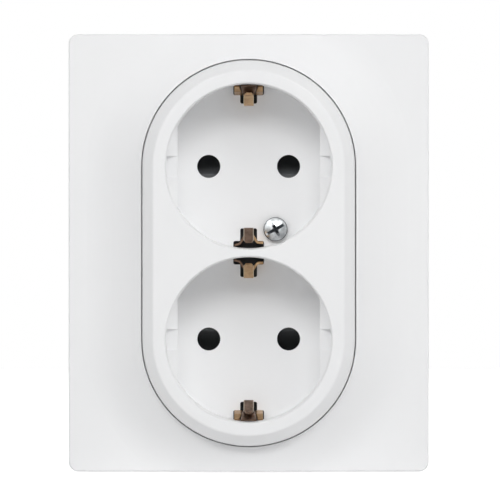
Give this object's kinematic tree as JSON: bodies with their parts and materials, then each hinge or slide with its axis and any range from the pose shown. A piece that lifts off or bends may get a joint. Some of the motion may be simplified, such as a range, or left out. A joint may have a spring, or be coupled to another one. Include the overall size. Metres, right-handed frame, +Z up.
{
  "type": "double wall socket",
  "caption": "Flush double earthed wall socket: stadium-shaped cover with round wells, sprung earth tongues, shutters and screwless terminals, in a rectangular frame.",
  "frame": {"origin": "midway between the two box screws, on the wall plane", "axes": "+Z up, +Y into the wall, so the front faces -Y; +X to the right seen from the front"},
  "size_m": [0.0856, 0.0462, 0.1038],
  "materials": {
    "white_plastic": "smooth satin-gloss moulded plastic",
    "black_plastic": "matt moulded plastic",
    "grey_plastic": "moulded plastic",
    "brass": "rolled and stamped, lightly tarnished",
    "spring_steel": "bright spring steel",
    "zinc_steel": "zinc plated"
  },
  "bodies": {
    "socket": {"frame": "white_plastic", "cover": "white_plastic", "cover_screw": "zinc_steel", "base_screws": "zinc_steel", "mounting_plate": "zinc_steel", "screw_bush": "brass", "earth_bar": "brass", "earth_rivets": "brass", "earth_clip_upper": "brass", "earth_clip_lower": "brass", "live_rail": "brass", "neutral_rail": "brass", "front_deck": "black_plastic", "rear_housing": "black_plastic", "shutter_spring_upper": "spring_steel", "shutter_spring_lower": "spring_steel", "receiver_clip_upper_live": "spring_steel", "receiver_clip_upper_neutral": "spring_steel", "receiver_clip_lower_live": "spring_steel", "receiver_clip_lower_neutral": "spring_steel", "clamp_spring_live": "spring_steel", "clamp_spring_earth": "spring_steel", "clamp_spring_neutral": "spring_steel"},
    "shutter_upper": {"shutter_upper": "black_plastic"},
    "shutter_lower": {"shutter_lower": "black_plastic"},
    "release_button_live": {"release_button_live": "grey_plastic"},
    "release_button_earth": {"release_button_earth": "grey_plastic"},
    "release_button_neutral": {"release_button_neutral": "grey_plastic"}
  },
  "joints": [
    {"name": "shutter_upper_slide", "type": "slide", "parent": "socket", "child": "shutter_upper", "axis": [0, 0, -1], "range_m": [0, 0.006], "stiffness_N_per_m": 60, "springref_m": -0.003, "deforming": ["shutter_spring_upper"]},
    {"name": "shutter_lower_slide", "type": "slide", "parent": "socket", "child": "shutter_lower", "axis": [0, 0, 1], "range_m": [0, 0.006], "stiffness_N_per_m": 60, "springref_m": -0.003, "deforming": ["shutter_spring_lower"]},
    {"name": "release_live_press", "type": "slide", "parent": "socket", "child": "release_button_live", "axis": [0, -1, 0], "range_m": [0, 0.002], "stiffness_N_per_m": 1200, "springref_m": -0.0005, "deforming": ["clamp_spring_live"]},
    {"name": "release_earth_press", "type": "slide", "parent": "socket", "child": "release_button_earth", "axis": [0, -1, 0], "range_m": [0, 0.002], "stiffness_N_per_m": 1200, "springref_m": -0.0005, "deforming": ["clamp_spring_earth"]},
    {"name": "release_neutral_press", "type": "slide", "parent": "socket", "child": "release_button_neutral", "axis": [0, -1, 0], "range_m": [0, 0.002], "stiffness_N_per_m": 1200, "springref_m": -0.0005, "deforming": ["clamp_spring_neutral"]}
  ]
}
